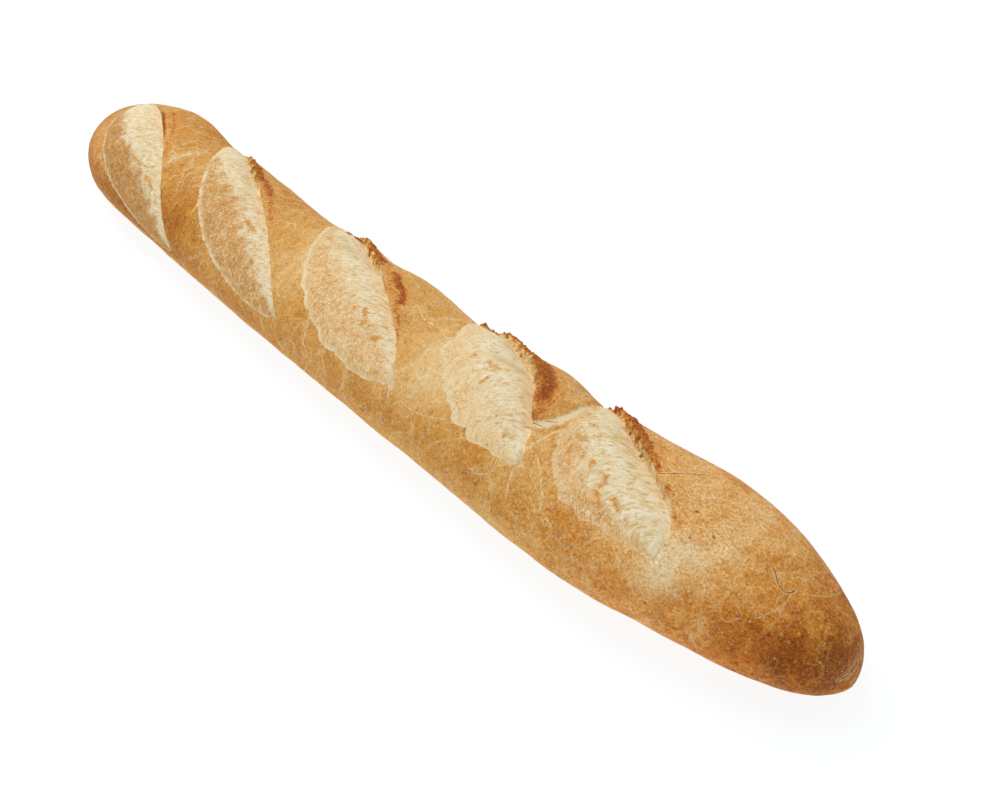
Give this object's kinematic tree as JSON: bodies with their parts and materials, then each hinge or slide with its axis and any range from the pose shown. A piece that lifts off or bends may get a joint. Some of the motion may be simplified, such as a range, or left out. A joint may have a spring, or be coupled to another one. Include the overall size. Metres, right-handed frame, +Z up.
{
  "type": "baguette",
  "caption": "Long slender loaf of white bread with rounded ends, a flat underside and slanting slashes that opened into leaf shapes, each with a raised crisp lip.",
  "frame": {"origin": "middle of the loaf's box, on the surface it lies on", "axes": "+X along the loaf towards its thicker, darker end, +Y across it, +Z up"},
  "size_m": [0.48, 0.0752, 0.0536],
  "materials": {
    "crust": "baked golden crust, matt, paler and floury where the slashes opened"
  },
  "bodies": {
    "root": {"baguette": "crust"}
  },
  "joints": []
}
